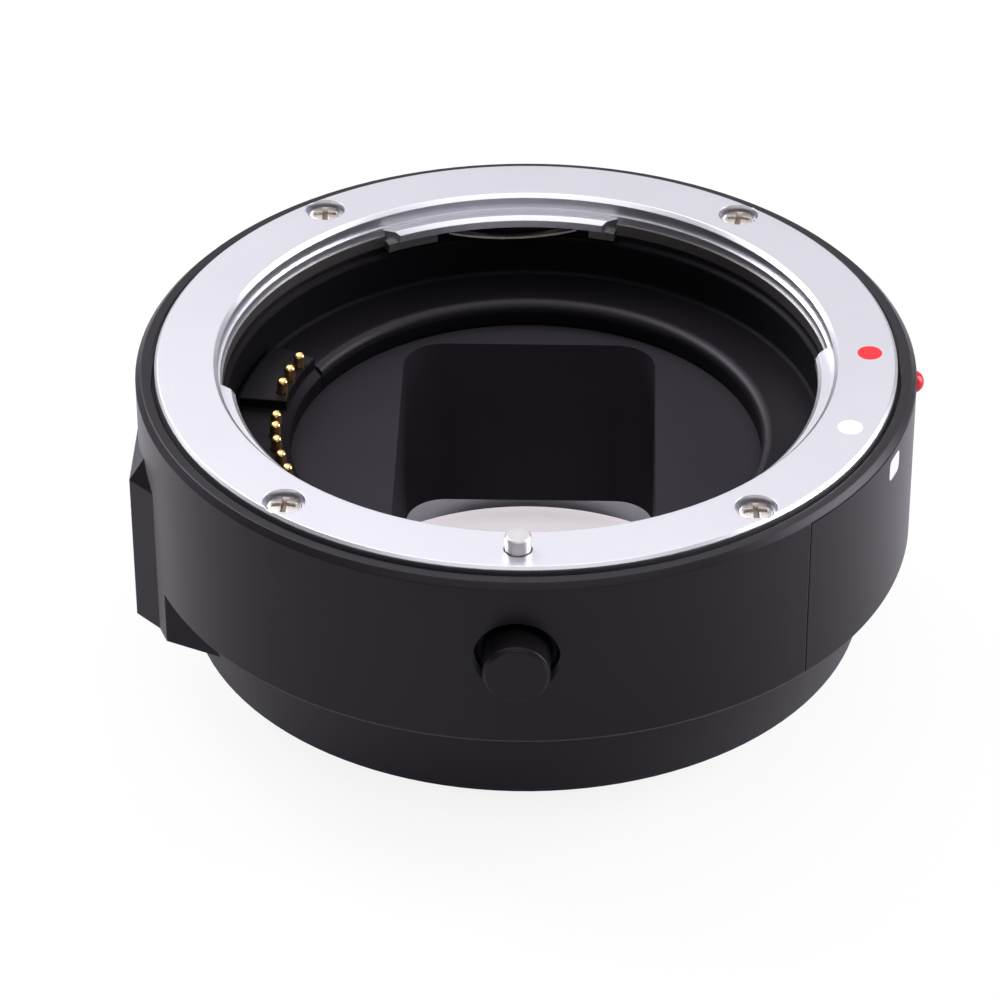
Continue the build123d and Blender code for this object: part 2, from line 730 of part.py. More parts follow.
export_step(light_tunnel.part, "parts/light_tunnel.step")

# Screws through the ears of the tunnel, from below
z_ear = z_tunnel - tunnel_flange_t
with BuildPart() as tunnel_screws:
    for radius, length in [(ear_head_r, -ear_head_t), (ear_screw_r, ear_screw_l)]:
        with BuildSketch(Plane.XY.offset(z_ear)):
            with Locations(*[polar(ear_r, angle) for angle in ear_angles]):
                Circle(radius)
        extrude(amount=length)
tunnel_screws.part.label = "tunnel_screws"
export_step(tunnel_screws.part, "parts/tunnel_screws.step")

# Contact block: fills the gap in the ledge, with a higher platform for the first contacts
contact_tops = [z_ledge + step_h] * high_contacts
contact_tops += [z_ledge] * (len(contact_angles) - high_contacts)
block_low_r = tunnel_flange_r + seat_gap
with BuildPart() as contact_block:
    with BuildSketch(radial_plane(block_start)):
        Polygon(
            (path_r, z_tunnel),
            (block_low_r, z_tunnel),
            (block_low_r, z_board),
            (block_out_r, z_board),
            (block_out_r, z_ledge),
            (path_r + rim_bevel, z_ledge),
            (path_r, z_ledge - rim_bevel),
            align=None,
        )
    revolve(axis=Axis.Z, revolution_arc=block_end - block_start)
    with BuildSketch(radial_plane(block_start)):
        Polygon(
            *box_section(path_r + step_inset, block_out_r, z_ledge - rim_bevel, z_ledge + step_h),
            align=None,
        )
    revolve(axis=Axis.Z, revolution_arc=step_angle - block_start)
    for angle, top in zip(contact_angles, contact_tops):
        for radius, depth in [
            (contact_r + slide_gap, top),
            (contact_bore_r, top - contact_guide_l),
        ]:
            with BuildSketch(Plane.XY.offset(depth)):
                with Locations(polar(contact_ring_r, angle)):
                    Circle(radius)
            extrude(amount=z_board - depth, mode=Mode.SUBTRACT)
contact_block.part.label = "contact_block"
export_step(contact_block.part, "parts/contact_block.step")

# Contact pins and the coil springs under them
for index, (angle, top) in enumerate(zip(contact_angles, contact_tops), start=1):
    z_shoulder = top - contact_guide_l - seat_gap
    with BuildPart() as contact_pin:
        with BuildSketch(Plane.XY.offset(z_shoulder)):
            with Locations(polar(contact_ring_r, angle)):
                Circle(contact_r)
        extrude(amount=top + contact_proud - z_shoulder)
        chamfer(contact_pin.edges().group_by(Axis.Z)[-1], length=contact_r / 2)
        with BuildSketch(Plane.XY.offset(z_shoulder)):
            with Locations(polar(contact_ring_r, angle)):
                Circle(contact_shoulder_r)
        extrude(amount=-contact_shoulder_t)
    contact_pin.part.label = f"contact_pin_{index}"
    export_step(contact_pin.part, f"parts/contact_pin_{index}.step")

    coil_l = z_shoulder - contact_shoulder_t - z_board - contact_wire - 2 * seat_gap
    coil_foot = (*polar(contact_ring_r, angle), z_board + contact_wire / 2 + seat_gap)
    contact_spring = coil(coil_foot, contact_spring_r, contact_wire, coil_l, contact_spring_turns)
    contact_spring.label = f"contact_spring_{index}"
    export_step(contact_spring, f"parts/contact_spring_{index}.step")

# Circuit board round the tunnel, its controller and its screws
board_open_x = window_half_x + tunnel_wall + board_hole_gap
board_open_y = window_half_y + tunnel_wall + board_hole_gap
with BuildPart() as circuit_board:
    with BuildSketch(Plane.XY.offset(z_board)):
        Circle(board_r)
        Rectangle(2 * board_open_x, 2 * board_open_y, mode=Mode.SUBTRACT)
        with Locations(*[polar(boss_ring_r, angle) for angle in boss_angles]):
            Circle(board_screw_r + seat_gap, mode=Mode.SUBTRACT)
    extrude(amount=-board_t)
circuit_board.part.label = "circuit_board"
export_step(circuit_board.part, "parts/circuit_board.step")

with BuildPart() as controller:
    with BuildSketch(Plane.XY.offset(z_board_under)):
        with Locations((chip_r, 0)):
            Rectangle(chip_size, chip_size)
    extrude(amount=-chip_t)
controller.part.label = "controller"
export_step(controller.part, "parts/controller.step")

with BuildPart() as board_screws:
    for radius, length in [(board_head_r, -board_head_t), (board_screw_r, board_screw_l)]:
        with BuildSketch(Plane.XY.offset(z_board_under)):
            with Locations(*[polar(boss_ring_r, angle) for angle in boss_angles]):
                Circle(radius)
        extrude(amount=length)
board_screws.part.label = "board_screws"
export_step(board_screws.part, "parts/board_screws.step")

# Rear mount ring: flange, barrel and three bayonet tabs
with BuildPart() as rear_mount_ring:
    with BuildSketch(Plane.XZ):
        Polygon(
            (shoulder_r, z_bottom),
            (rear_flange_r, z_bottom),
            (rear_flange_r, z_rear + rear_bevel),
            (rear_flange_r - rear_bevel, z_rear),
            (barrel_r, z_rear),
            (barrel_r, z_barrel_end + barrel_bevel),
            (barrel_r - barrel_bevel, z_barrel_end),
            (rear_bore_r, z_barrel_end),
            (rear_bore_r, z_baffle),
            (shoulder_r, z_baffle),
            align=None,
        )
    revolve(axis=Axis.Z)
    for start, end in tab_spans:
        with BuildSketch(radial_plane(start)):
            Polygon(
                *box_section(barrel_r - barrel_wall / 2, tab_r, z_rear - tab_drop - tab_t, z_rear - tab_drop),
                align=None,
            )
        revolve(axis=Axis.Z, revolution_arc=end - start)
    with BuildSketch(Plane.XY.offset(z_rear)):
        with Locations(*[polar(rear_screw_r, angle) for angle in rear_screw_angles]):
            Circle(rear_head_r + seat_gap)
    extrude(amount=rear_head_t, mode=Mode.SUBTRACT)
    with BuildSketch(Plane.XY.offset(z_rear)):
        with Locations(*[polar(rear_screw_r, angle) for angle in rear_screw_angles]):
            Circle(rear_shank_r + seat_gap)
        with Locations(polar(lock_hole_ring_r, lock_hole_angle)):
            Circle(lock_hole_r)
    extrude(amount=rear_flange_t, mode=Mode.SUBTRACT)
rear_mount_ring.part.label = "rear_mount_ring"
export_step(rear_mount_ring.part, "parts/rear_mount_ring.step")

with BuildPart() as rear_mount_screws:
    for radius, length in [(rear_head_r, -rear_head_t), (rear_shank_r, rear_shank_l)]:
        with BuildSketch(Plane.XY.offset(z_rear + rear_head_t)):
            with Locations(*[polar(rear_screw_r, angle) for angle in rear_screw_angles]):
                Circle(radius)
        extrude(amount=length)
rear_mount_screws.part.label = "rear_mount_screws"
export_step(rear_mount_screws.part, "parts/rear_mount_screws.step")

# Rear baffle: closes the barrel round the end of the tunnel
with BuildPart() as rear_baffle:
    with BuildSketch(Plane.XY.offset(z_baffle)):
        Circle(rear_bore_r - seat_gap)
        add(duct_outline(tunnel_wall + seat_gap), mode=Mode.SUBTRACT)
        with Locations((-flex_x, 0)):
            Rectangle(2 * flex_t, flex_w + 2 * seat_gap, mode=Mode.SUBTRACT)
    extrude(amount=-baffle_t)
rear_baffle.part.label = "rear_baffle"
export_step(rear_baffle.part, "parts/rear_baffle.step")

# Rear contact block, its pads, and the flat cable from the circuit board
with BuildPart() as rear_contact_block:
    with BuildSketch(radial_plane(180 - pad_block_arc)):
        Polygon(*box_section(pad_block_in_r, pad_block_out_r, z_pads, z_baffle_under), align=None)
    revolve(axis=Axis.Z, revolution_arc=2 * pad_block_arc)
rear_contact_block.part.label = "rear_contact_block"
export_step(rear_contact_block.part, "parts/rear_contact_block.step")

with BuildPart() as rear_contact_pads:
    with BuildSketch(Plane.XY.offset(z_pads)):
        with PolarLocations(
            (pad_block_in_r + pad_block_out_r) / 2,
            pad_count,
            start_angle=180 - pad_pitch * (pad_count - 1) / 2,
            angular_range=pad_pitch * (pad_count - 1),
            endpoint=True,
        ):
            Rectangle(pad_size_r, pad_size_t)
    extrude(amount=-pad_t)
rear_contact_pads.part.label = "rear_contact_pads"
export_step(rear_contact_pads.part, "parts/rear_contact_pads.step")

with BuildPart() as flex_cable:
    with BuildSketch(Plane.XY.offset(z_board_under)):
        with Locations((-flex_x, 0)):
            Rectangle(flex_t, flex_w)
    extrude(amount=z_baffle_under - z_board_under)
flex_cable.part.label = "flex_cable"
export_step(flex_cable.part, "parts/flex_cable.step")
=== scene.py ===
import math

import bmesh
import bpy
from mathutils import Matrix, Vector


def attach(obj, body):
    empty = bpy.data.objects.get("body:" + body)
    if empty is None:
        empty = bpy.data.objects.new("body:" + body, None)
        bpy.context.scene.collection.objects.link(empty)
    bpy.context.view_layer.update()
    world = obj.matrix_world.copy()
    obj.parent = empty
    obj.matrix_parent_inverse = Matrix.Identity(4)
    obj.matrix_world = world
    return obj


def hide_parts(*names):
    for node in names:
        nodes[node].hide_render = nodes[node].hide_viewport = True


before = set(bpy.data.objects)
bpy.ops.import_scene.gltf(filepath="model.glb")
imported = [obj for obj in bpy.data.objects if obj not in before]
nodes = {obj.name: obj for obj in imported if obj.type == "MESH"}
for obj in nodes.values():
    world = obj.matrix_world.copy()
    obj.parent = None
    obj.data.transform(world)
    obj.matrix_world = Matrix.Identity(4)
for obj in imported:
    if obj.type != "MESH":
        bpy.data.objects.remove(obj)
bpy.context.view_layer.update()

MM = 0.001

# Sizes of the object that the added pieces need, in millimetres and degrees
BODY_R = 34.2
DRUM_EDGE_Z = -16.5
RING_SCREW_R = 30.5
RING_SCREW_ANGLES = [51.5, 128.5, -130.2, -49.8]
RING_SCREW_TURNS = [-6.0, 3.0, -2.0, 4.0]
RING_HEAD_TOP = -0.3
RING_HEAD_UNDER = -1.1
RING_HEAD_R = 1.5
RING_SHANK_R = 1.0
RING_SHANK_END = -5.6
REAR_SCREW_R = 25.5
REAR_SCREW_ANGLES = [45.0, 135.0, 225.0, 315.0]
REAR_FLANGE_Z = -26.0
REAR_HEAD_T = 0.6
REAR_HEAD_R = 1.5
REAR_SHANK_R = 0.8
REAR_SHANK_L = 2.4
LOCK_PIN_Y = -29.8
CONTACT_R = 0.5
CONTACT_RING_R = 22.15
CONTACT_ANGLES = [158.2, 163.9, 169.6, 179.5, 183.9, 189.6, 195.8, 201.5]
CONTACT_TOPS = [-5.6] * 3 + [-6.6] * 5
CONTACT_SHOULDER_R = 0.6
CONTACT_SHOULDER_T = 0.5
CONTACT_GUIDE_L = 1.65
CONTACT_PROUD = 1.4
LEDGE_Z = -8.0
LEDGE_RIM_R = 20.9
LEDGE_RIM_ROUND = 0.8
BLOCK_START = 153.5
BLOCK_END = 206.5
SOCKET_X = -34.25
SOCKET_Z = -12.8
SOCKET_R = 2.55
SOCKET_L = 5.5

# Printed marks and the socket's thread
INDEX_DOT_R = 30.1
RED_DOT_ANGLE = 1.2
WHITE_DOT_ANGLE = -21.8
INDEX_SQUARE_ANGLE = -21.55
INDEX_SQUARE_LOW = -4.0
INDEX_SQUARE_HIGH = -1.9
INDEX_SQUARE_W = 2.4
INDEX_SQUARE_CORNER = 0.55
THREAD_PITCH = 1.27
THREAD_RIDGE = 0.28
THREAD_LEAD = 0.65


def polar(radius, angle):
    turn = math.radians(angle)
    return radius * math.cos(turn), radius * math.sin(turn)


# Materials


class Nodes:
    """Short calls for building a node tree."""

    def __init__(self, owner):
        owner.use_nodes = True
        self.tree = owner.node_tree

    def add(self, kind, inputs=None, **settings):
        node = self.tree.nodes.new(kind)
        for key, value in settings.items():
            setattr(node, key, value)
        for key, value in (inputs or {}).items():
            node.inputs[key].default_value = value
        return node

    def link(self, source, target):
        self.tree.links.new(source, target)

    def blend(self, factor, first, second):
        """A colour between two others, each given as numbers or as another node's output."""
        node = self.add("ShaderNodeMix", data_type="RGBA")
        self.link(factor, node.inputs["Factor"])
        for key, colour in (("A", first), ("B", second)):
            if isinstance(colour, tuple):
                node.inputs[key].default_value = (*colour, 1)
            else:
                self.link(colour, node.inputs[key])
        return node.outputs["Result"]


class Finish(Nodes):
    """A material with a Principled surface."""

    def __init__(self, name):
        self.material = bpy.data.materials.new(name)
        super().__init__(self.material)
        self.surface = self.tree.nodes["Principled BSDF"]

    def math(self, operation, first, second=None):
        node = self.add("ShaderNodeMath", operation=operation)
        for socket, value in zip(node.inputs, (first, second)):
            if isinstance(value, (int, float)):
                socket.default_value = value
            elif value is not None:
                self.link(value, socket)
        return node.outputs[0]

    def place(self):
        return self.add("ShaderNodeTexCoord").outputs["Object"]

    def noise(self, scale, detail):
        node = self.add("ShaderNodeTexNoise", {"Scale": scale, "Detail": detail})
        self.link(self.place(), node.inputs["Vector"])
        return node.outputs["Fac"]

    def turned(self, centre, lines_per_mm):
        """Fine rings about an upright axis, as a lathe leaves them."""
        split = self.add("ShaderNodeSeparateXYZ")
        self.link(self.place(), split.inputs[0])
        squares = []
        for side, middle in zip("XY", centre):
            away = self.math("SUBTRACT", split.outputs[side], middle * MM)
            squares.append(self.math("MULTIPLY", away, away))
        radius = self.math("SQRT", self.math("ADD", *squares))
        node = self.add("ShaderNodeTexNoise", {"Scale": 1.0, "Detail": 4.0}, noise_dimensions="1D")
        self.link(self.math("MULTIPLY", radius, lines_per_mm / MM), node.inputs["W"])
        return node.outputs["Fac"]

    def span(self, value, low, high):
        """Spreads the middle of a noise over a range."""
        limits = {"From Min": 0.3, "From Max": 0.7, "To Min": low, "To Max": high}
        node = self.add("ShaderNodeMapRange", limits)
        self.link(value, node.inputs["Value"])
        return node.outputs["Result"]

    def relief(self, value, depth_mm, edge_mm):
        """Fine relief on a surface whose edges are softly broken."""
        bevel = self.add("ShaderNodeBevel", {"Radius": edge_mm * MM}, samples=4)
        bump = self.add("ShaderNodeBump", {"Strength": 1.0, "Distance": depth_mm * MM})
        self.link(value, bump.inputs["Height"])
        self.link(bevel.outputs[0], bump.inputs["Normal"])
        self.link(bump.outputs[0], self.surface.inputs["Normal"])


METAL_TINT = (1, 1, 1, 1)
COATING_TINT = (0.95, 0.86, 1.0, 1)
MOTTLE_SCALE = 90.0
SHEEN_ROUGHNESS = 0.35


def finish_of(name, dark, light, rough, depth, edge, metal=0.0, grain=9000.0, turned=None, specular=0.5,
              sheen=0.0):
    """A moulded, anodised or machined finish: mottled colour, uneven gloss and a fine grain or lathe rings.
    depth is the height of the relief and edge the radius of the softened edges, in millimetres."""
    look = Finish(name)
    settings = {
        "Metallic": metal,
        "Specular IOR Level": specular,
        "Specular Tint": METAL_TINT if metal else COATING_TINT,
        "Sheen Weight": sheen,
        "Sheen Roughness": SHEEN_ROUGHNESS,
    }
    for key, value in settings.items():
        look.surface.inputs[key].default_value = value
    broad = look.noise(MOTTLE_SCALE, 3.0)
    fine = look.turned(*turned) if turned else look.noise(grain, 2.0)
    look.link(look.blend(broad, dark, light), look.surface.inputs["Base Color"])
    look.link(look.span(fine, *rough), look.surface.inputs["Roughness"])
    look.relief(fine, depth, edge)
    return look.material


looks = {
    "anodised": finish_of(
        "black_anodised", dark=(0.0044, 0.0038, 0.0052), light=(0.0066, 0.0058, 0.0078), rough=(0.32, 0.42),
        depth=0.0015, edge=0.16, specular=0.34, sheen=0.22),
    "cover": finish_of(
        "black_cover", dark=(0.0048, 0.0042, 0.0056), light=(0.0070, 0.0062, 0.0082), rough=(0.32, 0.42),
        depth=0.0015, edge=0.10, specular=0.34, sheen=0.22),
    "chrome": finish_of(
        "satin_chrome", dark=(0.80, 0.80, 0.85), light=(0.86, 0.86, 0.91), rough=(0.34, 0.38),
        depth=0.00012, edge=0.10, metal=1.0, turned=((0.0, 0.0), 6.0)),
    "seat": finish_of(
        "seat_metal", dark=(0.26, 0.25, 0.245), light=(0.33, 0.32, 0.31), rough=(0.34, 0.46),
        depth=0.001, edge=0.05, metal=1.0, grain=6000.0),
    "leaf": finish_of(
        "spring_steel", dark=(0.58, 0.53, 0.50), light=(0.70, 0.65, 0.61), rough=(0.26, 0.36),
        depth=0.0008, edge=0.03, metal=1.0, grain=7000.0),
    "pin": finish_of(
        "pin_steel", dark=(0.62, 0.61, 0.61), light=(0.72, 0.71, 0.71), rough=(0.38, 0.50),
        depth=0.0005, edge=0.08, metal=1.0, turned=((0.0, LOCK_PIN_Y), 5.0)),
    "screw": finish_of(
        "screw_steel", dark=(0.50, 0.47, 0.44), light=(0.66, 0.63, 0.59), rough=(0.22, 0.34),
        depth=0.0015, edge=0.04, metal=1.0, grain=8000.0),
    # Darker, browner steel in the cross recesses: painted shade
    "recess": finish_of(
        "screw_recess_painted_shade", dark=(0.30, 0.25, 0.21), light=(0.38, 0.32, 0.27), rough=(0.34, 0.46),
        depth=0.0015, edge=0.02, metal=1.0, grain=8000.0),
    # The drum's edge bead: a lighter black than the anodised body as a painted highlight, with a strong
    # gloss that also reflects the lamps
    "edge": finish_of(
        "edge_bead_painted_highlight", dark=(0.018, 0.017, 0.020), light=(0.026, 0.024, 0.028), rough=(0.26, 0.36),
        depth=0.001, edge=0.02, specular=1.0),
    "button": finish_of(
        "button_black", dark=(0.0042, 0.0038, 0.0050), light=(0.0064, 0.0058, 0.0076), rough=(0.32, 0.40),
        depth=0.0025, edge=0.14, specular=0.34),
    "plastic": finish_of(
        "black_plastic", dark=(0.0030, 0.0026, 0.0036), light=(0.0043, 0.0038, 0.0050), rough=(0.42, 0.54),
        depth=0.002, edge=0.60, grain=7000.0, specular=0.14),
    "rim": finish_of(
        "rim_black", dark=(0.0036, 0.0032, 0.0042), light=(0.0050, 0.0045, 0.0058), rough=(0.44, 0.54),
        depth=0.001, edge=0.02, grain=7000.0, specular=0.36),
    "tunnel": finish_of(
        "tunnel_black", dark=(0.020, 0.0175, 0.0225), light=(0.027, 0.0238, 0.030), rough=(0.66, 0.78),
        depth=0.003, edge=0.08, grain=7000.0, specular=0.12),
    "block": finish_of(
        "block_black", dark=(0.0035, 0.0032, 0.0040), light=(0.0052, 0.0048, 0.0060), rough=(0.40, 0.52),
        depth=0.0015, edge=0.25, grain=7000.0, specular=0.14),
    "gold": finish_of(
        "contact_gold", dark=(0.86, 0.56, 0.22), light=(0.94, 0.68, 0.32), rough=(0.16, 0.26),
        depth=0.0006, edge=0.03, metal=1.0),
    "red": finish_of(
        "red_plastic", dark=(0.62, 0.012, 0.016), light=(0.74, 0.022, 0.026), rough=(0.22, 0.32),
        depth=0.001, edge=0.05, grain=6000.0),
    "board": finish_of(
        "board_green", dark=(0.012, 0.075, 0.035), light=(0.020, 0.115, 0.052), rough=(0.32, 0.44),
        depth=0.004, edge=0.04, grain=2600.0),
    "chip": finish_of(
        "chip_black", dark=(0.014, 0.014, 0.015), light=(0.022, 0.022, 0.023), rough=(0.50, 0.62),
        depth=0.003, edge=0.06, grain=5000.0),
    "flex": finish_of(
        "flex_amber", dark=(0.34, 0.13, 0.025), light=(0.46, 0.19, 0.04), rough=(0.28, 0.38),
        depth=0.001, edge=0.02, grain=3000.0),
    "red_ink": finish_of(
        "red_ink", dark=(0.66, 0.010, 0.014), light=(0.76, 0.018, 0.024), rough=(0.34, 0.46),
        depth=0.001, edge=0.02),
    "white_ink": finish_of(
        "white_ink", dark=(0.80, 0.80, 0.80), light=(0.90, 0.90, 0.90), rough=(0.40, 0.52),
        depth=0.001, edge=0.02),
}

node_looks = {
    "housing": "anodised",
    "side_cover": "cover",
    "index_bead": "red",
    "lens_mount_ring": "chrome",
    "lens_mount_screws": "screw",
    "spring_seat_ring": "seat",
    "leaf_spring_top": "leaf",
    "leaf_spring_right": "leaf",
    "leaf_spring_left": "leaf",
    "lock_pin": "pin",
    "lock_spring": "leaf",
    "release_button": "button",
    "button_bush": "plastic",
    "inner_frame": "plastic",
    "light_tunnel": "tunnel",
    "tunnel_screws": "screw",
    "contact_block": "block",
    "circuit_board": "board",
    "controller": "chip",
    "board_screws": "screw",
    "rear_mount_ring": "chrome",
    "rear_mount_screws": "screw",
    "rear_baffle": "tunnel",
    "rear_contact_block": "block",
    "rear_contact_pads": "gold",
    "flex_cable": "flex",
}
for index in range(1, len(CONTACT_ANGLES) + 1):
    node_looks[f"contact_pin_{index}"] = "gold"
    node_looks[f"contact_spring_{index}"] = "leaf"
for name, look in node_looks.items():
    nodes[name].data.materials.clear()
    nodes[name].data.materials.append(looks[look])


# Tools for the pieces


def piece(name, mesh, look, body):
    """Puts a finished mesh into the scene as a piece that rides on a body."""
    item = bpy.data.objects.new(name, mesh)
    bpy.context.scene.collection.objects.link(item)
    item.data.materials.append(looks[look])
    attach(item, body)
    return item


def bridge(shape, low, high):
    """Closes the band between two rings of vertices, either of which may be a single vertex."""
    count = max(len(low), len(high))
    for step in range(count):
        corners = []
        for row, index in ((low, step), (low, step + 1), (high, step + 1), (high, step)):
            corners.append(row[index % len(row)])
        shape.faces.new(list(dict.fromkeys(corners)))


def lathe(shape, profile, place, sides=48):
    """Adds a closed turned form: profile is (radius, height) pairs from axis to axis, in millimetres."""
    rows = []
    for radius, height in profile:
        row = []
        for step in range(sides if radius else 1):
            x, y = polar(radius * MM, 360 * step / sides)
            row.append(shape.verts.new(place @ Vector((x, y, height * MM))))
        rows.append(row)
    for low, high in zip(rows, rows[1:]):
        bridge(shape, low, high)


def mesh_of(shape, name, sharp=40.0):
    """Closes a bmesh into a mesh with smooth faces and sharp corners."""
    bmesh.ops.recalc_face_normals(shape, faces=shape.faces)
    for face in shape.faces:
        face.smooth = True
    for edge in shape.edges:
        if len(edge.link_faces) == 2 and edge.calc_face_angle(0) > math.radians(sharp):
            edge.smooth = False
    mesh = bpy.data.meshes.new(name)
    shape.to_mesh(mesh)
    shape.free()
    return mesh


def hoop(name, section, look, start=0.0, span=360.0, sides=240):
    """A closed section, (radius, height) pairs in millimetres, turned about the optical axis."""
    shape = bmesh.new()
    rows = []
    for step in range(sides + 1):
        x, y = polar(MM, start + span * step / sides)
        rows.append([shape.verts.new((x * radius, y * radius, height * MM)) for radius, height in section])
    for low, high in zip(rows, rows[1:]):
        bridge(shape, low, high)
    if span < 360:
        shape.faces.new(rows[0])
        shape.faces.new(rows[-1])
    else:
        bmesh.ops.remove_doubles(shape, verts=shape.verts, dist=0.001 * MM)
    piece(name, mesh_of(shape, name), look, "adapter")


# Cross-head screws: the cross's half length and half width are shares of the head's radius

CROSS_MOUTH = (0.76, 0.18)
CROSS_END = (0.50, 0.12)
CROSS_DEPTH = 0.72
CROSS_ABOVE = 0.2


def screw_profile(head_r, head_t, shank_r, shank_l):
    """A low domed head and a shank, as (radius, height) pairs with the top of the head at 0."""
    dome = head_r * 0.10
    end = -head_t - shank_l
    profile = [(0, 0)]
    for step in range(1, 7):
        part = step / 6
        profile.append((head_r * 0.90 * part, -dome * part**2))
    profile += [
        (head_r * 0.97, -dome * 1.5),
        (head_r, -dome * 2.4),
        (head_r, -head_t),
        (shank_r, -head_t),
        (shank_r, end + shank_r * 0.3),
        (shank_r * 0.7, end),
        (0, end),
    ]
    return profile


def cross_cutter(shape, place, head_r, depth):
    """Adds the two tapered bars that cut a cross into a head."""
    for turn in (0.0, 90.0):
        spin = place @ Matrix.Rotation(math.radians(turn), 4, "Z")
        corners = []
        for height, (length, width) in ((CROSS_ABOVE, CROSS_MOUTH), (-depth, CROSS_END)):
            for x, y in ((-1, -1), (1, -1), (1, 1), (-1, 1)):
                corner = Vector((x * length * head_r, y * width * head_r, height)) * MM
                corners.append(shape.verts.new(spin @ corner))
        for ring in ((3, 2, 1, 0), (4, 5, 6, 7), (0, 1, 5, 4), (1, 2, 6, 5), (2, 3, 7, 6), (3, 0, 4, 7)):
            # Index 1 is the darker recess steel, which is painted shade
            shape.faces.new([corners[i] for i in ring]).material_index = 1


def cross_screws(name, places, head_r, head_t, shank_r, shank_l):
    """Screws at matrices with +Z out of the head and the origin at the middle of the head's top."""
    heads = bmesh.new()
    cutter = bmesh.new()
    for place in places:
        lathe(heads, screw_profile(head_r, head_t, shank_r, shank_l), place)
        cross_cutter(cutter, place, head_r, head_t * CROSS_DEPTH)
    item = piece(name, mesh_of(heads, name), "screw", "adapter")
    # The cross's cut faces take the darker recess steel: painted shade
    item.data.materials.append(looks["recess"])
    tool = bpy.data.objects.new("cross_cutter", mesh_of(cutter, "cross_cutter"))
    bpy.context.scene.collection.objects.link(tool)
    cut = item.modifiers.new("recess", "BOOLEAN")
    cut.operation = "DIFFERENCE"
    cut.solver = "EXACT"
    cut.use_self = True
    cut.object = tool
    bpy.context.view_layer.update()
    carved = bpy.data.meshes.new_from_object(item.evaluated_get(bpy.context.evaluated_depsgraph_get()))
    item.modifiers.clear()
    item.data = carved
    bpy.data.objects.remove(tool)
    return item


ring_places = []
for angle, turn in zip(RING_SCREW_ANGLES, RING_SCREW_TURNS):
    x, y = polar(RING_SCREW_R * MM, angle)
    head = Matrix.Translation((x, y, RING_HEAD_TOP * MM))
    ring_places.append(head @ Matrix.Rotation(math.radians(turn), 4, "Z"))
ring_screws = cross_screws("cross_screws_front", ring_places, RING_HEAD_R, RING_HEAD_TOP - RING_HEAD_UNDER,
                           RING_SHANK_R, RING_HEAD_UNDER - RING_SHANK_END)
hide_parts("lens_mount_screws")

rear_places = []
for angle in REAR_SCREW_ANGLES:
    x, y = polar(REAR_SCREW_R * MM, angle)
    head = Matrix.Translation((x, y, REAR_FLANGE_Z * MM))
    rear_places.append(head @ Matrix.Rotation(math.pi, 4, "X"))
rear_screws = cross_screws("cross_screws_rear", rear_places, REAR_HEAD_R, REAR_HEAD_T,
                           REAR_SHANK_R, REAR_SHANK_L)
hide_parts("rear_mount_screws")


# Contact tips: turned gold pins with a domed end


def contact_profile(top):
    shoulder = top - CONTACT_PROUD - CONTACT_GUIDE_L
    dome = CONTACT_R * 0.8
    profile = [(0, top)]
    for step in range(1, 9):
        tilt = math.pi / 2 * step / 8
        profile.append((CONTACT_R * math.sin(tilt), top - dome * (1 - math.cos(tilt))))
    profile += [
        (CONTACT_R, shoulder),
        (CONTACT_SHOULDER_R, shoulder),
        (CONTACT_SHOULDER_R, shoulder - CONTACT_SHOULDER_T),
        (0, shoulder - CONTACT_SHOULDER_T),
    ]
    return profile


for index, (angle, top) in enumerate(zip(CONTACT_ANGLES, CONTACT_TOPS), start=1):
    x, y = polar(CONTACT_RING_R * MM, angle)
    shape = bmesh.new()
    lathe(shape, contact_profile(top), Matrix.Translation((x, y, 0)), sides=32)
    mesh = mesh_of(shape, "contact_tip")
    tip = piece(f"contact_tip_{index}", mesh, "gold", f"contact_{index}")
    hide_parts(f"contact_pin_{index}")


# Printed marks


def index_dot(name, angle, look):
    """A thin, slightly crowned disc of ink on the flange."""
    x, y = polar(INDEX_DOT_R * MM, angle)
    shape = bmesh.new()
    profile = [(0, 0.030), (0.60, 0.029), (0.95, 0.024), (1.08, 0.012), (1.10, -0.02), (0, -0.02)]
    lathe(shape, profile, Matrix.Translation((x, y, 0)))
    piece(name, mesh_of(shape, name), look, "adapter")


def index_square(name, angle, low, high, width, corner):
    """A rounded square of ink that follows the round side of the body."""
    middle = (low + high) / 2
    half_h = (high - low) / 2
    half_w = width / 2
    outline = []
    for side_x, side_z, start in ((1, 1, 0), (-1, 1, 90), (-1, -1, 180), (1, -1, 270)):
        for step in range(9):
            x, z = polar(corner, start + 90 * step / 8)
            outline.append((side_x * (half_w - corner) + x, side_z * (half_h - corner) + z))
    shape = bmesh.new()
    rows = []
    for proud, scale in ((0.02, 0.0), (0.02, 0.5), (0.02, 0.93), (0.005, 1.0), (-0.02, 1.0)):
        row = []
        for across, up in (outline if scale else outline[:1]):
            turn = math.degrees(across * scale / BODY_R)
            x, y = polar((BODY_R + proud) * MM, angle + turn)
            row.append(shape.verts.new((x, y, (middle + up * scale) * MM)))
        rows.append(row)
    for low_row, high_row in zip(rows, rows[1:]):
        bridge(shape, low_row, high_row)
    shape.faces.new(rows[-1])
    piece(name, mesh_of(shape, name), "white_ink", "adapter")


index_dot("index_dot_red", RED_DOT_ANGLE, "red_ink")
index_dot("index_dot_white", WHITE_DOT_ANGLE, "white_ink")
index_square("index_square", INDEX_SQUARE_ANGLE, INDEX_SQUARE_LOW, INDEX_SQUARE_HIGH, INDEX_SQUARE_W,
             INDEX_SQUARE_CORNER)

# Lower edge of the drum: a fine glossy bead that catches the light, coloured lighter than the body as a
# painted highlight
bead = []
for inset, rise in ((0.40, 0.02), (0.04, 0.02), (0.02, -0.06), (0.08, -0.15), (0.22, -0.19), (0.40, -0.10)):
    bead.append((BODY_R - inset, DRUM_EDGE_Z + rise))
hoop("edge_bead", bead, "edge")

